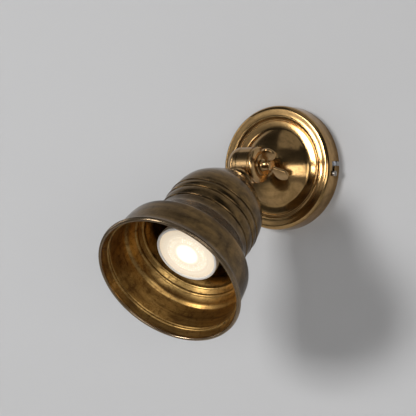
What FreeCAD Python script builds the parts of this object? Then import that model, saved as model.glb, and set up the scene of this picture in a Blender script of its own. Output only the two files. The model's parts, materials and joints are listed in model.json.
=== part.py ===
import FreeCAD, Part
import math
import os

V = FreeCAD.Vector

# Rose and wall plate, mm
ROSE_R = 50.0
ROSE_DEPTH = 16.4
ROSE_APEX = 29.0
SHEET = 1.2
PLATE_R = 48.2
PLATE_T = 1.5
TAB_X = 45.4
FIXING_SPACING = 60.0
FIXING_HOLE_R = 2.6
CABLE_HOLE_R = 8.0
SCREW_Z = -6.0
SCREW_DEPTH = 9.2
SLOT_HALF = 1.8
TWIST_DEG = 9.4

# Knuckle
PIVOT_D = 55.3
TILT_DEG = 39.3
KNUCKLE_R = 14.4
JOINT_X = -3.7
GAP = 0.15
TEETH = 48
WING_TURN_DEG = 52.0
WING_T = 2.4
WING_ARM = [(3.4, 16.4), (9.0, 18.4), (14.0, 18.6), (8.0, 28.6), (3.4, 21.0)]
WING_LOBE = (12.2, 24.4)
WING_LOBE_R = 6.5
BOLT_R = 2.5
TUBE_R = 5.0
BORE_R = 3.0

# Shade, measured along its axis from the pivot
BACK_S = 24.6
MOUTH_S = 145.1
MOUTH_R = 59.4

# Lamp
FACE_S = 113.2
LAMP_R = 25.0
BASE_S = 62.3
PIN_R = 2.5
PIN_PITCH = 10.0
LAMP_TWIST_DEG = 18.0
BRACKET_SCREW_X = 8.4

FRAME = {
    "wall": FreeCAD.Placement(V(0, 0, 0), FreeCAD.Rotation(V(1, 0, 0), 90)),
    "head": FreeCAD.Placement(V(0, -PIVOT_D, 0), FreeCAD.Rotation(V(1, 0, 0), 90 + TILT_DEG)),
    "cross": FreeCAD.Placement(V(0, -PIVOT_D, 0), FreeCAD.Rotation(V(0, 1, 0), 90)),
}


def placed(shape, frame):
    out = shape.copy()
    out.Placement = FRAME[frame].multiply(out.Placement)
    return out


def point(p):
    return V(p[0], 0, p[1])


def outline(start, *steps):
    """Closed face in (radius, height); a list is an arc or a smooth curve through its points."""
    edges = []
    here = start
    for step in steps:
        if isinstance(step, list):
            pts = [point(p) for p in [here] + step]
            if len(pts) == 3:
                edges.append(Part.Arc(*pts).toShape())
            else:
                curve = Part.BSplineCurve()
                curve.interpolate(pts)
                edges.append(curve.toShape())
            here = step[-1]
        else:
            edges.append(Part.makeLine(point(here), point(step)))
            here = step
    if point(here).distanceToPoint(point(start)) > 1e-6:
        edges.append(Part.makeLine(point(here), point(start)))
    return Part.Face(Part.Wire(edges))


def turned(start, *steps):
    return outline(start, *steps).revolve(V(0, 0, 0), V(0, 0, 1), 360)


def rod(r, z0, z1, x=0.0, y=0.0):
    return Part.makeCylinder(r, z1 - z0, V(x, y, z0))


def tube(r_out, r_in, z0, z1):
    return rod(r_out, z0, z1).cut(rod(r_in, z0 - 1, z1 + 1))


def block(x0, x1, y0, y1, z0, z1):
    return Part.makeBox(x1 - x0, y1 - y0, z1 - z0, V(x0, y0, z0))


def hexagon(flat, r_in, z0, z1):
    r = flat / math.sqrt(3)
    pts = [V(r * math.cos(math.radians(60 * i)), r * math.sin(math.radians(60 * i)), z0) for i in range(7)]
    return Part.Face(Part.makePolygon(pts)).extrude(V(0, 0, z1 - z0)).cut(rod(r_in, z0 - 1, z1 + 1))


def sector(r0, r1, z0, z1, deg0, deg1):
    face = outline((r0, z0), (r1, z0), (r1, z1), (r0, z1))
    face.rotate(V(0, 0, 0), V(0, 0, 1), deg0)
    return face.revolve(V(0, 0, 0), V(0, 0, 1), deg1 - deg0)


def wire_run(pts, r):
    """Round wire along straight runs, with rounded knees."""
    out = None
    for a, b in zip(pts, pts[1:]):
        start, end = V(*a), V(*b)
        run = Part.makeCylinder(r, start.distanceToPoint(end), start, end - start)
        knee = Part.makeSphere(r, end)
        out = run if out is None else out.fuse(run)
        if b != pts[-1]:
            out = out.fuse(knee)
    return out.removeSplitter()


def radial(r, x0, x1, y, z):
    """Rod along local X of a wall-frame part."""
    return Part.makeCylinder(r, x1 - x0, V(x0, y, z), V(1, 0, 0))


def both_sides(shape):
    other = shape.copy()
    other.rotate(V(0, 0, 0), V(0, 0, 1), 180)
    return [shape, other]


def wall_plate():
    plate = rod(PLATE_R, 0, PLATE_T)
    for sign in (-1, 1):
        plate = plate.cut(rod(FIXING_HOLE_R, -1, 3, sign * FIXING_SPACING / 2))
    plate = plate.cut(rod(CABLE_HOLE_R, -1, 3, 0, 22))
    tab = block(TAB_X, TAB_X + 1.5, SCREW_Z - 5, SCREW_Z + 11, PLATE_T - 0.2, 13.4)
    for tab_side in both_sides(tab):
        plate = plate.fuse(tab_side)
    for hole in both_sides(radial(1.55, 40, 48, SCREW_Z, SCREW_DEPTH)):
        plate = plate.cut(hole)
    for x in (-34.0, -11.0, 11.0):
        plate = plate.cut(rod(1.55, -1, 3, x, -24 if abs(x) < 20 else -18))
    return plate.removeSplitter()


def cover_screws():
    seat = ROSE_R + 0.3
    head = radial(2.2, seat, seat + 1.5, SCREW_Z, SCREW_DEPTH)
    slot = block(seat + 0.8, seat + 3, SCREW_Z - 3, SCREW_Z + 3, SCREW_DEPTH - 0.35, SCREW_DEPTH + 0.35)
    head = head.cut(slot)
    screw = head.fuse(radial(1.5, 42.5, seat, SCREW_Z, SCREW_DEPTH)).removeSplitter()
    return Part.makeCompound(both_sides(screw))


def terminal_block():
    body = block(-15, 15, -32, -16, PLATE_T, 13.5)
    for x in (-10.0, 0.0, 10.0):
        body = body.cut(rod(2.0, 8.0, 20, x, -20))
        body = body.cut(rod(2.0, 8.0, 20, x, -28))
        body = body.cut(Part.makeCylinder(1.6, 30, V(x, -40, 5.6), V(0, 1, 0)))
    for x in (-11.0, 11.0):
        body = body.cut(rod(1.55, -1, 3.4, x, -24))
    return body


def terminal_clamps():
    out = []
    for x in (-10.0, 0.0, 10.0):
        for y in (-20.0, -28.0):
            screw = rod(1.9, 8.1, 11.5, x, y)
            out.append(screw.cut(block(x - 3, x + 3, y - 0.3, y + 0.3, 10.6, 12)))
    return Part.makeCompound(out)


def block_screws():
    return Part.makeCompound([rod(1.5, 0.2, 3.3, x, -24) for x in (-11.0, 11.0)])


def earth_screw():
    head = rod(3.0, 3.4, 5.2, -34, -18).cut(block(-38, -30, -18.4, -17.6, 4.4, 6))
    return head.fuse(rod(1.5, 0.2, 3.4, -34, -18)).removeSplitter()


def earth_washer():
    return rod(3.6, PLATE_T, PLATE_T + 0.8, -34, -18).cut(rod(1.6, 0, 6, -34, -18))


def supply_leads():
    out = []
    for i in range(3):
        a = math.radians(90 + 120 * i)
        x1, y1 = 1.7 * math.cos(a), 1.7 * math.sin(a)
        x0 = (0.0, -10.0, 10.0)[i]
        out.append(wire_run([(x0, -19.0, 5.6), (x0, -14.0, 5.6), (x1, y1, 16.5), (x1, y1, 40)], 0.9))
    return Part.makeCompound(out)


def rose_cover():
    dome_r = (30.0 ** 2 + 11.5 ** 2) / 23.0
    centre = ROSE_APEX - dome_r

    def dome(r, r_sphere):
        return (r, centre + math.sqrt(r_sphere ** 2 - r ** 2))

    hole = TUBE_R + 0.15
    inner = dome_r - SHEET
    out_edge = dome(30.0, dome_r)
    shell = turned(
        (ROSE_R, 0.3), (ROSE_R, ROSE_DEPTH - 3.5),
        [(ROSE_R - 1.0, ROSE_DEPTH - 1.0), (ROSE_R - 3.5, ROSE_DEPTH)],
        (41.4, ROSE_DEPTH + 1.0), [(40.6, ROSE_DEPTH + 0.9), (40.1, ROSE_DEPTH + 0.2)],
        (39.7, 15.4), [(38.3, 16.1), (36.9, 15.4)], (32.2, 16.3),
        [(31.0, 16.7), out_edge], [dome(16.0, dome_r), dome(hole, dome_r)],
        dome(hole, inner), [dome(16.0, inner), dome(28.5, inner)],
        (31.5, 15.1), (36.6, 14.2), (39.2, 14.2), (40.6, 15.9), (ROSE_R - 3.8, 15.1),
        [(ROSE_R - 2.0, 14.3), (ROSE_R - SHEET, ROSE_DEPTH - 3.9)], (ROSE_R - SHEET, 0.3))
    step = math.degrees(math.asin(SCREW_Z / ROSE_R))
    shaft = radial(SLOT_HALF, 40, 55, 0, SCREW_DEPTH)
    low, high = SCREW_DEPTH - SLOT_HALF, SCREW_DEPTH + SLOT_HALF
    for side in (0, 180):
        leg = sector(45, 54, low, high, side + step, side + step + TWIST_DEG)
        entry = block(45, 54, -SLOT_HALF, SLOT_HALF, -1, SCREW_DEPTH)
        entry.rotate(V(0, 0, 0), V(0, 0, 1), side + step + TWIST_DEG)
        for turn in (step, step + TWIST_DEG):
            end = shaft.copy()
            end.rotate(V(0, 0, 0), V(0, 0, 1), side + turn)
            shell = shell.cut(end)
        shell = shell.cut(leg).cut(entry)
    return shell


def stem():
    return tube(TUBE_R, BORE_R, 19.5, 40.4)


def stem_collar():
    return turned((TUBE_R + 0.05, 29.05), (7.5, 29.05), [(8.1, 29.9), (7.5, 30.7)], (7.0, 30.9),
                  (7.0, 33.4), (TUBE_R + 0.05, 33.4))


def knuckle_base():
    drum = turned((0, JOINT_X + GAP), (KNUCKLE_R, JOINT_X + GAP), (KNUCKLE_R, 6.6),
                  [(13.3, 7.2), (13.7, 7.8)], [(14.4, 9.5), (13.4, 11.2)], (11.0, 11.8), (0, 11.8))
    drum = placed(drum, "cross")
    drum = drum.cut(placed(teeth_cutter(1), "cross"))
    boss = rod(7.0, 33.45, PIVOT_D - KNUCKLE_R - 0.35)
    deep = rod(7.0, 36, PIVOT_D - 6).common(block(JOINT_X + GAP, 9, -9, 9, 30, 60))
    body = drum.fuse(placed(boss.fuse(deep), "wall"))
    body = body.cut(placed(rod(TUBE_R + 0.05, 20, 40.45), "wall"))
    body = body.cut(placed(rod(BORE_R, 20, 50), "wall"))
    body = body.cut(placed(rod(9.0, JOINT_X - 5, 4.0), "cross"))
    return body.cut(placed(rod(BOLT_R + 0.08, -20, 20), "cross")).removeSplitter()


def teeth_cutter(side):
    """Radial V grooves around the rim of one serrated face."""
    x = JOINT_X + side * GAP
    half = math.pi * KNUCKLE_R / TEETH * 0.8
    cuts = []
    left, right, deep = V(10.5, -half * 0.7, x), V(10.5, half * 0.7, x), V(10.5, 0, x + side * 0.75)
    for i in range(TEETH):
        wedge = Part.Face(Part.makePolygon([left, right, deep, left])).extrude(V(6, 0, 0))
        wedge.rotate(V(0, 0, 0), V(0, 0, 1), i * 360.0 / TEETH)
        cuts.append(wedge)
    return Part.makeCompound(cuts)


def knuckle_head():
    x = JOINT_X - GAP
    cap = turned((0, x), (KNUCKLE_R, x), (KNUCKLE_R, x - 2.4),
                 [(11.8, x - 8.0), (4.6, x - 10.4)], (0, x - 10.6))
    cap = placed(cap, "cross").cut(placed(teeth_cutter(-1), "cross"))
    lug = block(-12.6, x, -6.0, 6.0, 8.0, 17.0)
    foot = rod(8.6, 15.1, 18.0)
    body = cap.fuse(placed(lug.fuse(foot), "head"))
    body = body.cut(placed(rod(TUBE_R + 0.05, 15.6, 20), "head"))
    body = body.cut(placed(rod(9.0, x - 5, x + 1), "cross"))
    body = body.cut(placed(rod(BOLT_R + 0.05, -20, 0), "cross"))
    return body.cut(placed(rod(2.4, 8, 17, -7.0), "head")).removeSplitter()


def clamp_bolt():
    x = JOINT_X - GAP
    return turned((0, x - 10.9), (4.2, x - 10.9), (4.6, x - 10.5), (BOLT_R, x - 10.5),
                  (BOLT_R, 18.8), (2.0, 19.3), (0, 19.3))


def clamp_washer():
    return turned((BOLT_R + 0.1, 11.85), (8.0, 11.85), [(8.3, 12.3), (7.8, 12.8)],
                  (5.4, 13.0), (BOLT_R + 0.1, 13.0))


def wing_nut():
    barrel = turned((BOLT_R + 0.08, 13.3), (4.9, 13.3), (4.4, 13.9), (4.4, 19.3), (4.8, 19.7), (4.8, 20.9),
                    (4.5, 21.2), (0, 21.2), (0, 19.8), (BOLT_R + 0.08, 19.8))
    nut = barrel
    arm_edge = Part.makePolygon([point(p) for p in WING_ARM + WING_ARM[:1]])
    for turn in (WING_TURN_DEG, WING_TURN_DEG + 180):
        arm = Part.Face(arm_edge).extrude(V(0, WING_T, 0))
        lobe = Part.makeCylinder(WING_LOBE_R, WING_T, V(WING_LOBE[0], 0, WING_LOBE[1]), V(0, 1, 0))
        wing = arm.fuse(lobe)
        wing.translate(V(0, -WING_T / 2, 0))
        wing.rotate(V(0, 0, 0), V(0, 0, 1), turn)
        nut = nut.fuse(wing)
    return nut.removeSplitter()


def shade_collar():
    return turned((TUBE_R + 0.1, 18.05), (9.4, 18.05), [(11.0, 19.8), (10.6, 22.2)],
                  (9.6, 24.4), (TUBE_R + 0.1, 24.4))


def shade_outer():
    """(radius, s) of the spun wall's outside, as the start and the middle and end of each arc."""
    back = [(11.5, BACK_S), (13.9, 25.4), (16.0, 27.0), (28.6, 42.8), (36.2, 57.5)]
    body = [(37.2, 62.4), (37.5, 67.4)]
    ribs = [(38.5, 71.3), (37.4, 75.4), (38.5, 80.3), (37.3, 85.5), (38.2, 89.8), (38.9, 94.5)]
    flare = [(44.2, 103.4), (51.6, 113.2)]
    skirt = [(53.6, 122.5), (54.3, 134.0), (55.2, 138.4), (57.9, 142.2)]
    return back + body + ribs + flare + skirt


def inward(points, depth):
    out = []
    for i, p in enumerate(points):
        a = points[max(i - 1, 0)]
        b = points[min(i + 1, len(points) - 1)]
        dr, ds = b[0] - a[0], b[1] - a[1]
        n = math.hypot(dr, ds)
        out.append((p[0] - depth * ds / n, p[1] + depth * dr / n))
    return out


def arcs(points):
    return [[points[i], points[i + 1]] for i in range(0, len(points) - 1, 2)]


def shade_shell():
    outer = shade_outer()
    inner = inward(outer, SHEET)
    hole = TUBE_R + 0.15
    bead = [(MOUTH_R - 0.1, MOUTH_S - 1.9), (MOUTH_R, MOUTH_S - 1.0), (58.6, MOUTH_S), (57.2, MOUTH_S - 0.2)]
    return turned((hole, BACK_S), outer[0], *arcs(outer[1:]), bead[0], bead[1:3], bead[3], inner[-1],
                  *arcs(inner[-2::-1]), (hole, BACK_S + SHEET))


def holder_bracket():
    base = rod(12.0, 31.1, 32.1).common(block(-14, 14, -6, 6, 31, 33))
    arm = block(11.0, 12.0, -5, 5, 31.1, 45.8)
    foot = block(6.2, 12.0, -5, 5, 44.8, 45.8)
    out = base
    for side in both_sides(arm.fuse(foot)):
        out = out.fuse(side)
    for hole in both_sides(rod(1.55, 40, 50, BRACKET_SCREW_X)):
        out = out.cut(hole)
    return out.cut(rod(TUBE_R + 0.1, 30, 34)).removeSplitter()


def bracket_screws():
    head = rod(2.4, 43.2, 44.8, BRACKET_SCREW_X).cut(block(5, 12, -0.3, 0.3, 43.0, 43.8))
    screw = head.fuse(rod(1.5, 44.8, 51.0, BRACKET_SCREW_X))
    return Part.makeCompound(both_sides(screw.removeSplitter()))


def lampholder():
    body = rod(14.0, 45.9, 62.0).common(block(-14, 14, -9.5, 9.5, 40, 70))
    wide = PIN_R + 0.35
    mid = PIN_PITCH / 2
    slot = sector(mid - wide, mid + wide, 53.6, 63, 0, LAMP_TWIST_DEG)
    for turn in (0, LAMP_TWIST_DEG):
        end = rod(wide, 53.6, 63, mid)
        end.rotate(V(0, 0, 0), V(0, 0, 1), turn)
        slot = slot.fuse(end)
    for one in both_sides(slot):
        body = body.cut(one)
    for hole in both_sides(rod(1.55, 40, 51.2, BRACKET_SCREW_X)):
        body = body.cut(hole)
    for hole in both_sides(rod(1.1, 40, 50, 0, 4.4)):
        body = body.cut(hole)
    return body.removeSplitter()


def holder_contacts():
    one = block(2.6, 7.4, -1.5, 1.5, 53.6, 54.0)
    return Part.makeCompound(both_sides(one))


def head_leads():
    out = []
    for y_holder, y_bore in ((-4.4, -1.5), (4.4, 1.5)):
        out.append(wire_run([(0, y_holder, 49.6), (0, y_holder, 44), (0, y_bore, 37), (0, y_bore, 20)], 0.9))
    return Part.makeCompound(out)


def lamp_base():
    return turned((0, BASE_S), (11.6, BASE_S), (12.4, BASE_S + 0.8), (12.4, 74.0), (0, 74.0))


def lamp_pins():
    pin = rod(1.5, 57.0, BASE_S - 0.02, PIN_PITCH / 2)
    tip = rod(PIN_R, 54.6, 57.0, PIN_PITCH / 2)
    return Part.makeCompound(both_sides(pin.fuse(tip).removeSplitter()))


def lamp_shell():
    return turned((11.0, 74.05), (13.6, 74.05), [(20.6, 91.0), (LAMP_R, 108.5)],
                  (LAMP_R, FACE_S - 0.8), [(24.75, FACE_S - 0.2), (24.2, FACE_S)], (23.3, FACE_S),
                  (23.0, FACE_S - 0.6), (23.0, 106.6), [(18.9, 91.5), (11.0, 76.0)])


def led_board():
    return rod(15.4, 88.0, 89.2).cut(rod(0.8, 80, 95, 11.0))


def led_emitter():
    return turned((0, 89.22), (7.0, 89.22), (7.0, 90.2), [(5.0, 90.9), (2.0, 91.2)], (0, 91.2))


def lamp_lens():
    return turned((0, 110.6), (22.95, 110.6), (22.95, FACE_S - 0.7),
                  [(12.0, FACE_S - 0.45), (2.0, FACE_S - 0.4)], (0, FACE_S - 0.4))


def drive_board():
    return block(-8.0, 8.0, -0.8, 0.8, 74.6, 84.0)


def build():
    return {
        "wall_plate": (wall_plate(), "wall"),
        "cover_screws": (cover_screws(), "wall"),
        "terminal_block": (terminal_block(), "wall"),
        "terminal_clamps": (terminal_clamps(), "wall"),
        "block_screws": (block_screws(), "wall"),
        "earth_screw": (earth_screw(), "wall"),
        "earth_washer": (earth_washer(), "wall"),
        "supply_leads": (supply_leads(), "wall"),
        "rose_cover": (rose_cover(), "wall"),
        "stem": (stem(), "wall"),
        "stem_washer": (tube(9.0, TUBE_R + 0.1, 25.6, 26.6), "wall"),
        "stem_locknut": (hexagon(14.0, TUBE_R + 0.05, 21.4, 25.6), "wall"),
        "stem_collar": (stem_collar(), "wall"),
        "knuckle_base": (knuckle_base(), None),
        "knuckle_head": (knuckle_head(), None),
        "clamp_bolt": (clamp_bolt(), "cross"),
        "clamp_washer": (clamp_washer(), "cross"),
        "wing_nut": (wing_nut(), "cross"),
        "shade_collar": (shade_collar(), "head"),
        "nipple": (tube(TUBE_R, BORE_R, 15.7, 35.5), "head"),
        "shade_shell": (shade_shell(), "head"),
        "shade_washer": (tube(9.0, TUBE_R + 0.1, 25.85, 26.85), "head"),
        "shade_locknut": (hexagon(14.0, TUBE_R + 0.05, 26.9, 31.05), "head"),
        "holder_bracket": (holder_bracket(), "head"),
        "bracket_nut": (hexagon(14.0, TUBE_R + 0.05, 32.15, 35.2), "head"),
        "bracket_screws": (bracket_screws(), "head"),
        "lampholder": (lampholder(), "head"),
        "holder_contacts": (holder_contacts(), "head"),
        "head_leads": (head_leads(), "head"),
        "lamp_base": (lamp_base(), "head"),
        "lamp_pins": (lamp_pins(), "head"),
        "lamp_shell": (lamp_shell(), "head"),
        "lamp_lens": (lamp_lens(), "head"),
        "led_board": (led_board(), "head"),
        "led_emitter": (led_emitter(), "head"),
        "drive_board": (drive_board(), "head"),
    }


os.makedirs("parts", exist_ok=True)
for name, (shape, frame) in build().items():
    if frame:
        shape = placed(shape, frame)
    shape.exportStep("parts/" + name + ".step")
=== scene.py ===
import json
import math

import bmesh
import bpy
from mathutils import Matrix, Vector


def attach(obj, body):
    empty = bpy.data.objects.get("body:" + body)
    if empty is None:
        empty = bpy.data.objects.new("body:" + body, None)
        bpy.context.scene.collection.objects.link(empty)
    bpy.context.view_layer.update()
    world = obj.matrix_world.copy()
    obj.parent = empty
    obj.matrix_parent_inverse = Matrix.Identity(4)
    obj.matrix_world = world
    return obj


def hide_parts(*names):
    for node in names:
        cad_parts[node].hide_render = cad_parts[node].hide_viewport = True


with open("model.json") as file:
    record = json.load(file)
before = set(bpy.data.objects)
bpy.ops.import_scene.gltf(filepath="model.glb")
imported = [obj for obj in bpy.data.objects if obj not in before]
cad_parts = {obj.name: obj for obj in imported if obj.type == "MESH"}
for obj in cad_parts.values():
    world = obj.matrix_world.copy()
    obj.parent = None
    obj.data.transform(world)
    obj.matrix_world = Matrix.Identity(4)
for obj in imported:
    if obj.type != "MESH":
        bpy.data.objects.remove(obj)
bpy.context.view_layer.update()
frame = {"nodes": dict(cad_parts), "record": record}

NODES = frame["nodes"]
JOINTS = {j["name"]: j for j in frame["record"]["behaviour"]["joints"]}
PIVOT = Vector(JOINTS["head_tilt"]["pos_m"])
SHADE_AXIS = Vector(JOINTS["lamp_twist"]["axis"]).normalized()
TWIST_DEG = JOINTS["rose_twist"]["range_deg"][1]
MM = 0.001

# The camera looks from the light's right and from slightly below it
CAMERA_AZ_DEG = 31.82
CAMERA_EL_DEG = -3.10
CAMERA_DISTANCE = 1.8
CAMERA_LENS = 192.1
CAMERA_AIM = Vector((0.0, -0.1136, -0.0355))

# Rose, mm
ROSE_R = 50.0
ROSE_DEPTH = 16.4
ROSE_APEX = 29.0
DOME_R = 30.0
DOME_RISE = 11.5
DOME_EDGE_R = 28.5
STEM_HOLE_R = 5.15
SHEET = 1.2
SLOT_HALF = 1.8
SCREW_DEPTH = 9.2
SCREW_DROP = 6.0
SCREW_ANGLE_DEG = -math.degrees(math.asin(SCREW_DROP / ROSE_R))

# Shade and lamp, mm along the shade's axis from the pivot
MOUTH_S = 145.1
FACE_S = 113.2
LENS_R = 22.9
TUBE_HOLE_R = 5.15
RIM_GROOVES = 3

# Wing nut: its turn about the bolt, and one wing's outline as (radius, distance along the bolt) in mm
WING_TURN_DEG = 52.0
WING_THICK = 2.6
WING_EDGE = 1.0
WING_OUTLINE = [(3.0, 16.6), (6.4, 17.8), (10.2, 18.3), (14.0, 18.4), (17.3, 20.6), (18.5, 24.2),
                (17.2, 28.0), (13.6, 30.6), (9.8, 30.2), (7.0, 27.4), (4.8, 23.6), (3.0, 21.0)]

# Width of the grime and painted shade in corners and of the wear along edges, metres
GRIME_AND_SHADE_WIDTH = 0.0016
WEAR_WIDTH = 0.00045

# The lens's glow, metres, and its rings of small facets: radius, half width, number of facets
FACET_RINGS = ((0.0118, 0.0011, 34), (0.0138, 0.0010, 44), (0.0158, 0.0009, 54))
GLOW_R = 0.023
GLOW_STRENGTH = 1.55

# Surroundings, metres: the wall's sheet stands just inside the plate's back face
WALL_Y = -0.0003
WALL_TOP = 3.0
HALF_WIDTH = 4.0
FLOOR_Z = -1.1
FLOOR_FRONT = -5.0
LIGHT_AIM = (0, -0.08, -0.03)
WARM_WHITE = (1.0, 0.99, 0.98)
ROOM_LIGHT = 0.045


def axes(origin, z_dir, x_dir):
    """Matrix of a piece whose own Z runs along z_dir and own X along x_dir."""
    z = Vector(z_dir).normalized()
    x = Vector(x_dir).normalized()
    y = z.cross(x)
    m = Matrix((x, y, z)).transposed().to_4x4()
    m.translation = Vector(origin)
    return m


WALL = axes((0, 0, 0), (0, -1, 0), (1, 0, 0))
CROSS = axes(PIVOT, (1, 0, 0), (0, 0, -1))
HEAD = axes(PIVOT, SHADE_AXIS, (1, 0, 0))


# Shapes

def arc(centre, radius, start_deg, end_deg, steps=8):
    """Points on an arc in (radius, height), from start to end."""
    out = []
    for i in range(steps + 1):
        a = math.radians(start_deg + (end_deg - start_deg) * i / steps)
        out.append((centre[0] + radius * math.cos(a), centre[1] + radius * math.sin(a)))
    return out


def smooth(points, steps=6):
    """Catmull-Rom curve through the points."""
    out = []
    p = [points[0]] + list(points) + [points[-1]]
    for i in range(1, len(p) - 2):
        for k in range(steps):
            t = k / steps
            out.append(tuple(
                0.5 * (2 * p[i][c] + (p[i + 1][c] - p[i - 1][c]) * t
                       + (2 * p[i - 1][c] - 5 * p[i][c] + 4 * p[i + 1][c] - p[i + 2][c]) * t * t
                       + (3 * p[i][c] - p[i - 1][c] - 3 * p[i + 1][c] + p[i + 2][c]) * t ** 3)
                for c in (0, 1)))
    out.append(points[-1])
    return out


def bulge(a, b, rise, steps=8):
    """Shallow curve from a to b that stands rise proud of the line, on its left if positive."""
    dr, ds = b[0] - a[0], b[1] - a[1]
    n = math.hypot(dr, ds)
    out = []
    for i in range(steps + 1):
        t = i / steps
        h = 4 * rise * t * (1 - t)
        out.append((a[0] + dr * t - ds / n * h, a[1] + ds * t + dr / n * h))
    return out


def new_piece(name, mesh, at, body, material, replaced=(), sharp_deg=32):
    """Places a finished mesh, gives it its material and ties it to a body."""
    mesh.polygons.foreach_set("use_smooth", [True] * len(mesh.polygons))
    mesh.set_sharp_from_angle(angle=math.radians(sharp_deg))
    obj = bpy.data.objects.new(name, mesh)
    bpy.context.scene.collection.objects.link(obj)
    obj.matrix_world = at
    obj.data.materials.append(material)
    bpy.context.view_layer.update()
    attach(obj, body)
    if replaced:
        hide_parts(*replaced)
    return obj


def on_circle(bm, r, angle, z):
    """New vertex at a radius, angle and height given in mm and radians."""
    return bm.verts.new((r * math.cos(angle) * MM, r * math.sin(angle) * MM, z * MM))


def lathe_mesh(name, profile, segments, closed=True):
    """Turned mesh in metres from (radius, height) points in mm."""
    bm = bmesh.new()
    rings = []
    for r, z in profile:
        count = segments if r > 1e-6 else 1
        rings.append([on_circle(bm, r, 2 * math.pi * k / segments, z) for k in range(count)])
    pairs = list(zip(rings, rings[1:]))
    if closed:
        pairs.append((rings[-1], rings[0]))
    for low, high in pairs:
        if len(low) == 1 and len(high) == 1:
            continue
        for k in range(segments):
            n = (k + 1) % segments
            if len(low) == 1:
                bm.faces.new((low[0], high[n], high[k]))
            elif len(high) == 1:
                bm.faces.new((low[k], low[n], high[0]))
            else:
                bm.faces.new((low[k], low[n], high[n], high[k]))
    bmesh.ops.recalc_face_normals(bm, faces=bm.faces)
    mesh = bpy.data.meshes.new(name)
    bm.to_mesh(mesh)
    bm.free()
    return mesh


# Materials

class Graph:
    """Short names for building a node material."""

    def __init__(self, name):
        self.material = bpy.data.materials.new(name)
        self.material.use_nodes = True
        self.tree = self.material.node_tree
        self.shader = self.tree.nodes["Principled BSDF"]
        self.coords = self.tree.nodes.new("ShaderNodeTexCoord").outputs["Object"]

    def node(self, kind, **values):
        made = self.tree.nodes.new(kind)
        for key, value in values.items():
            setattr(made, key, value)
        return made

    def link(self, source, target):
        self.tree.links.new(source, target)

    def math(self, operation, a, b=0.0, c=0.0):
        made = self.node("ShaderNodeMath", operation=operation)
        for socket, value in zip(made.inputs, (a, b, c)):
            if isinstance(value, (int, float)):
                socket.default_value = value
            else:
                self.link(value, socket)
        return made.outputs[0]

    def length(self, a, b):
        squares = (self.math("MULTIPLY", value, value) for value in (a, b))
        return self.math("SQRT", self.math("ADD", *squares))

    def noise(self, scale, detail, rough, vector=None, distortion=0.0):
        made = self.node("ShaderNodeTexNoise")
        made.inputs["Scale"].default_value = scale
        made.inputs["Detail"].default_value = detail
        made.inputs["Roughness"].default_value = rough
        made.inputs["Distortion"].default_value = distortion
        self.link(vector or self.coords, made.inputs["Vector"])
        return made.outputs["Fac"]

    def ramp(self, value, *stops):
        made = self.node("ShaderNodeValToRGB")
        ramp = made.color_ramp
        while len(ramp.elements) < len(stops):
            ramp.elements.new(0.5)
        for element, (place, colour) in zip(ramp.elements, stops):
            element.position = place
            element.color = (*(colour if isinstance(colour, tuple) else (colour,) * 3), 1.0)
        self.link(value, made.inputs["Fac"])
        return made.outputs["Color"]

    def mix(self, factor, a, b):
        made = self.node("ShaderNodeMix", data_type="RGBA")
        for socket, value in ((made.inputs[0], factor), (made.inputs[6], a), (made.inputs[7], b)):
            if isinstance(value, tuple):
                socket.default_value = (*value, 1.0)
            elif isinstance(value, (int, float)):
                socket.default_value = value
            else:
                self.link(value, socket)
        return made.outputs[2]

    def turned(self, fine, coarse):
        """Coordinates that run in rings round the piece's own Z, for lathe marks."""
        split = self.node("ShaderNodeSeparateXYZ")
        self.link(self.coords, split.inputs[0])
        x, y, z = split.outputs
        angle = self.math("ARCTAN2", y, x)
        join = self.node("ShaderNodeCombineXYZ")
        self.link(self.math("MULTIPLY", self.length(x, y), fine), join.inputs[0])
        self.link(self.math("MULTIPLY", z, fine), join.inputs[1])
        self.link(self.math("MULTIPLY", self.math("SINE", angle), coarse), join.inputs[2])
        return join.outputs[0]

    def bump(self, height, strength, distance, after=None):
        made = self.node("ShaderNodeBump")
        made.inputs["Strength"].default_value = strength
        made.inputs["Distance"].default_value = distance
        self.link(height, made.inputs["Height"])
        if after:
            self.link(after, made.inputs["Normal"])
        return made.outputs["Normal"]


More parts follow.
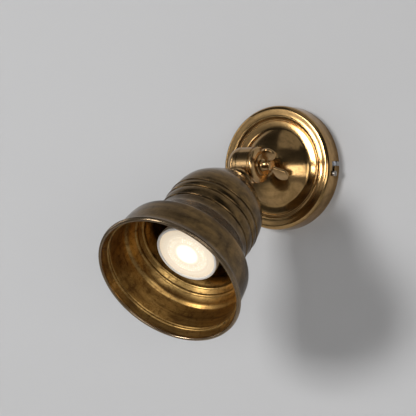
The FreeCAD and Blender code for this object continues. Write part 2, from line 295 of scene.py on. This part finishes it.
def aged_brass(name, bright, dull, stain, rough, stain_amount, wear=0.0):
    """Brass with a mottled patina drawn out round the turning axis, spots, grime with painted shade
    in hollows, and lathe lines.
    """
    g = Graph(name)
    clouds = g.noise(1.0, 5.0, 0.62, vector=g.turned(75.0, 2.6), distortion=0.5)
    streaks = g.noise(3.4, 6.0, 0.66, vector=g.turned(60.0, 1.1), distortion=0.3)
    blotches = g.noise(190.0, 6.0, 0.7)
    spots = g.noise(620.0, 4.0, 0.65)
    rings = g.noise(1.0, 2.0, 0.5, vector=g.turned(2600.0, 0.7))

    base = g.mix(g.ramp(clouds, (0.36, 0.0), (0.64, 1.0)), bright, dull)
    for pattern, low, high, amount in ((streaks, 0.46, 0.70, stain_amount),
                                       (blotches, 0.50, 0.68, stain_amount),
                                       (spots, 0.54, 0.68, stain_amount * 0.6)):
        share = g.math("MULTIPLY", g.ramp(pattern, (low, 0.0), (high, 1.0)), amount)
        base = g.mix(share, base, stain)

    # Painted shade with grime: the colour darkens toward a deep stain in hollows and corners,
    # wherever ambient occlusion finds them
    shade = g.node("ShaderNodeAmbientOcclusion", samples=6)
    shade.inputs["Distance"].default_value = GRIME_AND_SHADE_WIDTH
    grime_and_painted_shade = g.ramp(shade.outputs["AO"], (0.30, 1.0), (0.80, 0.0))
    base = g.mix(g.math("MULTIPLY", grime_and_painted_shade, 0.7), base, tuple(c * 0.35 for c in stain))
    if wear:
        edge = g.node("ShaderNodeAmbientOcclusion", samples=6, inside=True)
        edge.inputs["Distance"].default_value = WEAR_WIDTH
        worn = g.ramp(edge.outputs["AO"], (0.45, 1.0), (0.85, 0.0))
        base = g.mix(g.math("MULTIPLY", worn, wear), base, tuple(min(1.0, c * 2.1) for c in bright))
    g.link(base, g.shader.inputs["Base Color"])

    uneven = g.math("MULTIPLY_ADD", blotches, 0.16, rough - 0.13)
    uneven = g.math("MULTIPLY_ADD", grime_and_painted_shade, 0.25, uneven)
    g.link(g.math("MULTIPLY_ADD", streaks, 0.10, uneven), g.shader.inputs["Roughness"])
    normal = g.bump(rings, 0.25, 0.00001)
    g.link(g.bump(clouds, 0.10, 0.0004, normal), g.shader.inputs["Normal"])
    g.shader.inputs["Metallic"].default_value = 1.0
    return g.material


def plated(name, colour, rough):
    """Plated steel with faint patches and a fine grain."""
    g = Graph(name)
    patches = g.noise(90.0, 5.0, 0.6)
    grain = g.noise(900.0, 3.0, 0.6)
    g.link(g.mix(patches, tuple(c * 0.82 for c in colour), colour), g.shader.inputs["Base Color"])
    g.link(g.math("MULTIPLY_ADD", grain, 0.22, rough), g.shader.inputs["Roughness"])
    g.link(g.bump(grain, 0.2, 0.00003), g.shader.inputs["Normal"])
    g.shader.inputs["Metallic"].default_value = 1.0
    return g.material


def moulded(name, colour, rough):
    """Moulded plastic, ceramic or sleeve with a faint cloud and a fine grain."""
    g = Graph(name)
    cloud = g.noise(60.0, 4.0, 0.5)
    grain = g.noise(1600.0, 2.0, 0.5)
    g.link(g.mix(cloud, tuple(c * 0.93 for c in colour), colour), g.shader.inputs["Base Color"])
    g.link(g.math("MULTIPLY_ADD", grain, 0.15, rough), g.shader.inputs["Roughness"])
    g.link(g.bump(grain, 0.3, 0.00004), g.shader.inputs["Normal"])
    return g.material


def lens_material():
    """Frosted lens, lit warm: a bright middle, rings of small facets and a cream rim."""
    g = Graph("lens_lit")
    split = g.node("ShaderNodeSeparateXYZ")
    g.link(g.coords, split.inputs[0])
    x, y, _ = split.outputs
    radius = g.length(x, y)
    angle = g.math("ARCTAN2", y, x)
    facets = 0.0
    for middle, half, count in FACET_RINGS:
        turn = g.math("FRACT", g.math("MULTIPLY_ADD", angle, count / (2 * math.pi), 0.5))
        across = g.math("MULTIPLY", g.math("ABSOLUTE", g.math("SUBTRACT", turn, 0.5)), 2.6)
        off = g.math("MULTIPLY", g.math("ABSOLUTE", g.math("SUBTRACT", radius, middle)), 1 / half)
        spot = g.math("SUBTRACT", 1.0, g.length(across, off))
        facets = g.math("ADD", facets, g.math("MAXIMUM", spot, 0.0))
    patchy = g.ramp(g.noise(330.0, 2.0, 0.6), (0.40, 0.0), (0.66, 1.0))
    sparkle = g.noise(1500.0, 3.0, 0.7)
    share = g.math("MULTIPLY", radius, 1 / GLOW_R)
    fade = g.ramp(share, (0.0, 1.0), (0.27, 0.98), (0.42, 0.42), (0.50, 0.37), (0.56, 0.42),
                  (0.76, 0.36), (1.0, 0.33))
    glow = g.math("ADD", fade, g.math("MULTIPLY", g.math("MULTIPLY", facets, patchy), 0.55))
    glow = g.math("MULTIPLY", glow, g.math("MULTIPLY_ADD", sparkle, 0.30, 0.85))
    tint = g.ramp(share, (0.0, (1.0, 0.95, 0.84)), (0.45, (1.0, 0.87, 0.66)),
                  (0.8, (1.0, 0.85, 0.64)), (1.0, (1.0, 0.80, 0.56)))
    g.link(tint, g.shader.inputs["Emission Color"])
    g.link(g.math("MULTIPLY", glow, GLOW_STRENGTH), g.shader.inputs["Emission Strength"])
    g.link(g.mix(sparkle, (0.46, 0.41, 0.34), (0.60, 0.54, 0.45)), g.shader.inputs["Base Color"])
    frost = g.bump(sparkle, 0.2, 0.00005)
    g.link(g.bump(facets, 0.6, 0.0002, frost), g.shader.inputs["Normal"])
    g.shader.inputs["Roughness"].default_value = 0.25
    return g.material


rose_brass = aged_brass("rose_brass", bright=(0.56, 0.35, 0.15), dull=(0.40, 0.25, 0.10),
                        stain=(0.15, 0.082, 0.03), rough=0.165, stain_amount=0.42)
knuckle_brass = aged_brass("knuckle_brass", bright=(0.55, 0.35, 0.16), dull=(0.40, 0.25, 0.11),
                           stain=(0.15, 0.085, 0.035), rough=0.22, stain_amount=0.35, wear=0.4)
shade_outside = aged_brass("shade_outside", bright=(0.25, 0.155, 0.062), dull=(0.115, 0.076, 0.038),
                           stain=(0.045, 0.029, 0.015), rough=0.23, stain_amount=0.55, wear=0.5)
shade_inside = aged_brass("shade_inside", bright=(0.54, 0.345, 0.12), dull=(0.33, 0.19, 0.058),
                          stain=(0.11, 0.056, 0.018), rough=0.36, stain_amount=0.85)
rim_brass = aged_brass("rim_brass", bright=(0.35, 0.255, 0.165), dull=(0.23, 0.165, 0.10),
                       stain=(0.11, 0.075, 0.045), rough=0.20, stain_amount=0.25, wear=0.3)
zinc = plated("zinc_plate", (0.62, 0.64, 0.67), 0.28)
screw_steel = plated("screw_steel", (0.50, 0.47, 0.43), 0.22)
white_shell = moulded("lamp_white", (0.80, 0.79, 0.76), 0.28)
ceramic = moulded("holder_ceramic", (0.80, 0.78, 0.72), 0.45)
terminal_plastic = moulded("terminal_plastic", (0.72, 0.70, 0.64), 0.45)
lead_sleeve = moulded("lead_sleeve", (0.40, 0.24, 0.12), 0.5)
board_white = moulded("board_white", (0.70, 0.74, 0.70), 0.4)
phosphor = moulded("phosphor", (0.90, 0.70, 0.18), 0.5)
lens_lit = lens_material()

FINISHES = {
    "plate_steel": zinc, "bracket_steel": zinc, "screw_steel": screw_steel,
    "rose_brass": rose_brass, "knuckle_brass": knuckle_brass, "contact_brass": knuckle_brass,
    "shade_brass": shade_outside, "holder_ceramic": ceramic, "terminal_plastic": terminal_plastic,
    "lead_insulation": lead_sleeve, "lamp_white": white_shell, "lens_diffuser": lens_lit,
    "board_green": board_white, "emitter_yellow": phosphor,
}


# Rose cover with its two slots

def rose_profile():
    """Outside from the back edge to the stem's hole, then inside back again."""
    sphere = (DOME_R ** 2 + DOME_RISE ** 2) / (2 * DOME_RISE)
    centre = ROSE_APEX - sphere

    def on_dome(r, ball_r=sphere):
        return r, centre + math.sqrt(ball_r ** 2 - r ** 2)

    out = [(ROSE_R, 0.3), (ROSE_R, 1.0), (ROSE_R, ROSE_DEPTH - 3.5)]
    out += arc((ROSE_R - 3.5, ROSE_DEPTH - 3.5), 3.5, 0, 90, 10)[1:]
    out += [(44.5, ROSE_DEPTH - 0.02)]
    out += smooth([(42.3, ROSE_DEPTH - 0.02), (41.4, ROSE_DEPTH + 0.2), (40.5, ROSE_DEPTH)], 5)
    out += [(39.8, 15.35), (39.4, 15.25)]
    out += bulge((39.4, 15.25), (37.4, 15.35), 0.75, 8)[1:]
    out += [(36.9, 15.35), (34.0, 15.9)]
    out += smooth([(32.2, 16.2), (31.0, 16.7), on_dome(29.6)], 5)
    span = DOME_EDGE_R - STEM_HOLE_R
    out += [on_dome(DOME_EDGE_R - span * i / 22) for i in range(23)]
    out += [on_dome(STEM_HOLE_R + span * i / 12, sphere - SHEET) for i in range(13)]
    out += [(31.5, 15.1), (36.6, 14.2), (39.2, 14.2), (40.6, 15.9), (46.2, 15.1)]
    out += arc((ROSE_R - 4.2, ROSE_DEPTH - 4.3), 3.0, 80, 0, 6)
    return out + [(ROSE_R - SHEET, 1.0), (ROSE_R - SHEET, 0.3)]


def slot_cutter():
    """Both L slots: an entry from the back edge, and a leg round to where the screw sits."""
    bm = bmesh.new()
    steps = 16
    leg_low, leg_high = SCREW_DEPTH - SLOT_HALF, SCREW_DEPTH + SLOT_HALF
    half_deg = math.degrees(SLOT_HALF / ROSE_R)
    for side in (0, 180):
        entry = SCREW_ANGLE_DEG + TWIST_DEG
        outline = []
        for i in range(steps + 1):
            a = math.pi * (0.5 + i / steps)
            outline.append((SCREW_ANGLE_DEG + math.cos(a) * half_deg,
                            SCREW_DEPTH + math.sin(a) * SLOT_HALF))
        outline += [(entry - half_deg, leg_low), (entry - half_deg, -2.0), (entry + half_deg, -2.0)]
        outline += [(entry + half_deg, leg_high - 0.8), (entry + half_deg - 1.0, leg_high)]
        rings = []
        for r in (ROSE_R - 4.0, ROSE_R + 4.0):
            rings.append([on_circle(bm, r, math.radians(deg + side), z) for deg, z in outline])
        n = len(outline)
        for k in range(n):
            j = (k + 1) % n
            bm.faces.new((rings[0][k], rings[0][j], rings[1][j], rings[1][k]))
        bm.faces.new(rings[0])
        bm.faces.new(list(reversed(rings[1])))
    bmesh.ops.recalc_face_normals(bm, faces=bm.faces)
    mesh = bpy.data.meshes.new("slot_cutter")
    bm.to_mesh(mesh)
    bm.free()
    obj = bpy.data.objects.new("slot_cutter", mesh)
    bpy.context.scene.collection.objects.link(obj)
    return obj


def cut_mesh(mesh, cutter):
    """The mesh with the cutter taken out of it; the cutter is used up."""
    work = bpy.data.objects.new("work", mesh)
    bpy.context.scene.collection.objects.link(work)
    cut = work.modifiers.new("cut", "BOOLEAN")
    cut.operation = "DIFFERENCE"
    cut.solver = "EXACT"
    cut.object = cutter
    bpy.context.view_layer.update()
    evaluated = work.evaluated_get(bpy.context.evaluated_depsgraph_get())
    done = bpy.data.meshes.new_from_object(evaluated)
    bpy.data.objects.remove(work)
    bpy.data.objects.remove(cutter)
    return done


def make_rose():
    mesh = cut_mesh(lathe_mesh("rose", rose_profile(), 240), slot_cutter())
    new_piece("rose", mesh, WALL, "rose", rose_brass, ("rose_cover",))
    collar = [(5.05, 29.05), (7.2, 29.05)] + arc((7.2, 29.95), 0.9, -80, 80, 8)
    collar += smooth([(7.1, 31.1), (6.8, 32.2), (6.9, 33.4)], 4) + [(5.05, 33.4)]
    new_piece("collar_ring", lathe_mesh("collar_ring", collar, 96), WALL, "rose", knuckle_brass,
              ("stem_collar",))


make_rose()


# Shade

def ridge(r, s):
    """Small rolled ridge round the wall at s."""
    return [(r, s - 1.1)] + arc((r + 0.12, s), 0.7, -75, 75, 6) + [(r + 0.12, s + 1.0)]


def shade_profile():
    """The outside from the back forwards, the rolled rim, and the inside back again."""
    back = [(11.5, 24.7), (13.6, 25.3), (18.4, 29.0), (23.7, 35.1), (29.4, 42.5), (34.2, 49.9),
            (36.6, 56.8), (37.4, 62.4), (37.5, 65.9)]
    flare = [(37.9, 88.0), (38.1, 91.0), (38.9, 94.6), (41.2, 98.8), (45.0, 104.3), (48.8, 109.2),
             (50.9, 112.0)]
    skirt = [(51.5, 112.9), (52.3, 114.3), (53.1, 118.5), (53.8, 125.0), (54.1, 131.0),
             (54.6, 136.2), (55.9, 139.4), (57.6, 141.8)]
    outer = [(TUBE_HOLE_R, 24.6), (9.0, 24.6)] + smooth(back, 6)
    outer += ridge(37.5, 67.4) + smooth([(38.0, 69.6), (38.1, 71.6), (37.8, 73.6)], 4)
    outer += ridge(37.6, 75.3) + smooth([(38.0, 77.8), (38.1, 80.6), (37.7, 83.6)], 4)
    outer += ridge(37.5, 85.4) + smooth(flare, 6) + smooth(skirt, 6)

    rim = [(57.9, 142.2)]
    for i in range(RIM_GROOVES):
        rim += arc((58.3 - 0.18 * i, 142.75 + 0.72 * i), 0.8 - 0.02 * i, -35 + 14 * i, 40 + 14 * i, 4)
    rim += [(57.8, MOUTH_S), (57.2, MOUTH_S)] + arc((57.2, MOUTH_S - 1.0), 1.0, 90, 180, 5)

    soft_rings = (((50.7, 115.9), (48.0, 111.9)), ((45.8, 108.7), (44.2, 106.4)),
                  ((42.3, 103.8), (40.9, 101.9)))
    behind_ridges = (((37.2, 94.0), (36.4, 85.6), 0.5), ((36.3, 85.2), (36.3, 75.6), 0.6),
                     ((36.3, 75.2), (36.3, 67.6), 0.6))
    crown = [(36.1, 64.0), (35.0, 57.6), (32.5, 50.8), (27.6, 43.6), (22.0, 36.2), (17.2, 30.2),
             (12.6, 26.6), (9.0, 25.8)]
    inner = smooth([(56.1, 143.2), (54.9, 140.2), (54.3, 138.6)], 3)
    inner += arc((54.45, 137.3), 1.25, 95, 245, 8)
    inner += smooth([(53.4, 135.4), (53.3, 131.0), (52.9, 125.0), (52.0, 119.4), (51.2, 116.6)], 6)
    for p, q in soft_rings:
        inner += bulge(p, q, -0.42, 7)
    inner += smooth([(40.2, 100.6), (38.6, 97.8), (37.5, 95.2)], 3)
    for p, q, rise in behind_ridges:
        inner += bulge(p, q, rise, 6)
    inner += smooth(crown, 5)
    return outer, rim, inner + [(TUBE_HOLE_R, 25.8)]


def make_shade():
    outer, rim, inner = shade_profile()
    segments = 224
    mesh = lathe_mesh("shade", outer + rim + inner, segments)
    obj = new_piece("shade", mesh, HEAD, "head", shade_outside, ("shade_shell",),
                    sharp_deg=24)
    obj.data.materials.append(rim_brass)
    obj.data.materials.append(shade_inside)
    for face in obj.data.polygons:
        band = face.index // segments
        if band >= len(outer) + len(rim):
            face.material_index = 2
        elif band >= len(outer) - 1:
            face.material_index = 1
    collar = [(5.1, 18.05), (9.2, 18.05)] + arc((9.6, 19.6), 1.5, -90, 30, 8)
    collar += smooth([(10.9, 21.0), (10.4, 22.4), (9.9, 23.4), (9.6, 24.4)], 4) + [(5.1, 24.4)]
    new_piece("shade_neck_collar", lathe_mesh("shade_neck_collar", collar, 96), HEAD, "head",
              shade_outside, ("shade_collar",))


make_shade()


# Wing nut

def closed_smooth(points, steps=5):
    """Closed Catmull-Rom curve through the points."""
    n = len(points)
    out = []
    for i in range(n):
        four = [points[i - 1], points[i], points[(i + 1) % n], points[(i + 2) % n]]
        out += smooth(four, steps)[steps:2 * steps]
    return out


def pillow(bm, outline, thick, edge, place, layers=10):
    """Rounded plate: the outline at its middle, drawn in by edge towards both faces."""
    n = len(outline)
    area = sum(a[0] * b[1] - b[0] * a[1] for a, b in zip(outline[-1:] + outline, outline))
    turn = 1.0 if area > 0 else -1.0
    rings = []
    for j in range(layers + 1):
        phi = math.pi * (j / layers - 0.5)
        inset, height = edge * (1 - math.cos(phi)), thick / 2 * math.sin(phi)
        ring = []
        for i, p in enumerate(outline):
            a, b = outline[i - 1], outline[(i + 1) % n]
            dx, dy = b[0] - a[0], b[1] - a[1]
            d = math.hypot(dx, dy)
            ring.append(bm.verts.new(place(p[0] - turn * dy / d * inset,
                                           p[1] + turn * dx / d * inset, height)))
        rings.append(ring)
    for low, high in zip(rings, rings[1:]):
        for i in range(n):
            k = (i + 1) % n
            bm.faces.new((low[i], low[k], high[k], high[i]))
    bm.faces.new(rings[0])
    bm.faces.new(list(reversed(rings[-1])))


def make_wing_nut():
    barrel = [(2.6, 13.3), (4.6, 13.3), (4.9, 13.5), (4.7, 13.8), (4.4, 14.1), (4.4, 19.2)]
    barrel += smooth([(4.45, 19.4), (4.6, 19.6), (4.8, 19.9)], 4)
    barrel += [(4.8, 20.8), (4.5, 21.15), (3.8, 21.2), (0.0, 21.2), (0.0, 19.8), (2.6, 19.8)]
    mesh = lathe_mesh("wing_nut_piece", barrel, 96)
    bm = bmesh.new()
    bm.from_mesh(mesh)
    for turn in (WING_TURN_DEG, WING_TURN_DEG + 180):
        a = math.radians(turn)

        def place(r, x, h):
            return Matrix.Rotation(a, 3, "Z") @ Vector((r, h, x)) * MM

        pillow(bm, closed_smooth(WING_OUTLINE), WING_THICK, WING_EDGE, place)
    bmesh.ops.recalc_face_normals(bm, faces=bm.faces)
    bm.to_mesh(mesh)
    bm.free()
    new_piece("wing_nut_piece", mesh, CROSS, "wing", knuckle_brass, ("wing_nut",),
              sharp_deg=50)


make_wing_nut()


# Materials of the CAD nodes: each takes its record slot's finish

for part in frame["record"]["subparts"]:
    node = NODES[part["node"]]
    node.data.materials.clear()
    node.data.materials.append(FINISHES[part["material_slot"]])


# Lamp

def make_lens():
    front = [(LENS_R, 0.9), (22.5, 0.7), (18.5, 0.62), (18.2, 0.75), (17.9, 0.62), (15.9, 0.58),
             (15.6, 0.72), (12.0, 0.7), (11.7, 0.55), (9.6, 0.5), (0.0, 0.45)]
    profile = [(0.0, 110.6), (LENS_R, 110.6)] + [(r, FACE_S - below) for r, below in front]
    new_piece("lens", lathe_mesh("lens", profile, 128, closed=False), HEAD, "lamp", lens_lit,
              ("lamp_lens",))


make_lens()


# Surroundings

def pale(name, colour):
    """Matt paint with a very faint cloud."""
    g = Graph(name)
    cloud = g.noise(3.0, 3.0, 0.5)
    g.link(g.mix(cloud, tuple(c * 0.985 for c in colour), colour), g.shader.inputs["Base Color"])
    g.shader.inputs["Roughness"].default_value = 0.8
    return g.material


def sheet_of(name, corners, material):
    """Flat sheet of the surroundings, which isn't part of the light."""
    mesh = bpy.data.meshes.new(name)
    mesh.from_pydata(corners, [], [(0, 1, 2, 3)])
    obj = bpy.data.objects.new(name, mesh)
    bpy.context.scene.collection.objects.link(obj)
    obj.data.materials.append(material)


def area_light(name, place, aim, size, power, colour=(1, 1, 1), tall=None):
    """Light that faces aim: a square of that size, or a rectangle where tall is given."""
    data = bpy.data.lights.new(name, "AREA")
    data.shape = "RECTANGLE"
    data.size = size
    data.size_y = tall or size
    data.energy = power
    data.color = colour
    obj = bpy.data.objects.new(name, data)
    bpy.context.scene.collection.objects.link(obj)
    obj.location = place
    obj.rotation_mode = "QUATERNION"
    obj.rotation_quaternion = (Vector(aim) - Vector(place)).to_track_quat("-Z", "Y")


def towards(az_deg, el_deg, distance):
    """Place in a direction from the wall: azimuth 0 is straight out from it, 90 to its right."""
    az, el = math.radians(az_deg), math.radians(el_deg)
    flat = math.cos(el)
    return Vector((math.sin(az) * flat, -math.cos(az) * flat, math.sin(el))) * distance


def one_sided(name, colour):
    """Pale paint on the room's side; seen from behind, the wall lets the view through."""
    material = pale(name, colour)
    tree = material.node_tree
    through = tree.nodes.new("ShaderNodeBsdfTransparent")
    side = tree.nodes.new("ShaderNodeNewGeometry")
    mix = tree.nodes.new("ShaderNodeMixShader")
    tree.links.new(side.outputs["Backfacing"], mix.inputs[0])
    tree.links.new(tree.nodes["Principled BSDF"].outputs[0], mix.inputs[1])
    tree.links.new(through.outputs[0], mix.inputs[2])
    tree.links.new(mix.outputs[0], tree.nodes["Material Output"].inputs["Surface"])
    return material


def make_world():
    """A dark room round the lights, which looks pale where the view runs past the wall."""
    world = bpy.data.worlds.new("studio")
    bpy.context.scene.world = world
    world.use_nodes = True
    tree = world.node_tree
    dim = tree.nodes["Background"]
    dim.inputs["Color"].default_value = (0.8, 0.82, 0.85, 1)
    dim.inputs["Strength"].default_value = ROOM_LIGHT
    shown = tree.nodes.new("ShaderNodeBackground")
    shown.inputs["Color"].default_value = (0.56, 0.56, 0.565, 1)
    path = tree.nodes.new("ShaderNodeLightPath")
    mix = tree.nodes.new("ShaderNodeMixShader")
    tree.links.new(path.outputs["Is Camera Ray"], mix.inputs[0])
    tree.links.new(dim.outputs[0], mix.inputs[1])
    tree.links.new(shown.outputs[0], mix.inputs[2])
    tree.links.new(mix.outputs[0], tree.nodes["World Output"].inputs["Surface"])


def make_stage():
    w = HALF_WIDTH
    sheet_of("wall", [(-w, WALL_Y, FLOOR_Z), (w, WALL_Y, FLOOR_Z), (w, WALL_Y, WALL_TOP),
                      (-w, WALL_Y, WALL_TOP)], one_sided("wall_paint", (0.58, 0.58, 0.585)))
    sheet_of("floor", [(-w, FLOOR_FRONT, FLOOR_Z), (w, FLOOR_FRONT, FLOOR_Z), (w, w, FLOOR_Z),
                       (-w, w, FLOOR_Z)], pale("floor_paint", (0.6, 0.6, 0.6)))
    area_light("key", towards(-17, 9, 2.3), LIGHT_AIM, size=0.6, power=28.5)
    area_light("front_box", towards(29, -5, 2.2), (-1.0, -0.2, -0.03), size=1.55, power=12.5,
               colour=WARM_WHITE, tall=0.75)
    area_light("left_fill", towards(-40, 8, 2.5), LIGHT_AIM, size=1.5, power=1.5)
    area_light("top_fill", towards(10, 62, 2.3), LIGHT_AIM, size=1.8, power=2.4)
    area_light("left_strip", towards(-66, 12, 2.0), LIGHT_AIM, size=0.22, power=4.0, tall=1.3)
    area_light("back_left", (-1.2, 1.6, 0.9), (0, 0, 0), size=1.2, power=22.0)
    area_light("back_right", (1.3, 1.7, 0.3), (0, 0, 0), size=1.2, power=14.0)
    make_world()


def make_camera():
    data = bpy.data.cameras.new("camera")
    data.lens = CAMERA_LENS
    data.sensor_width = 36.0
    obj = bpy.data.objects.new("camera", data)
    bpy.context.scene.collection.objects.link(obj)
    obj.location = towards(CAMERA_AZ_DEG, CAMERA_EL_DEG, CAMERA_DISTANCE)
    obj.rotation_mode = "QUATERNION"
    obj.rotation_quaternion = (CAMERA_AIM - obj.location).to_track_quat("-Z", "Y")
    bpy.context.scene.camera = obj
    bpy.context.scene.view_settings.view_transform = "Standard"


make_stage()
make_camera()
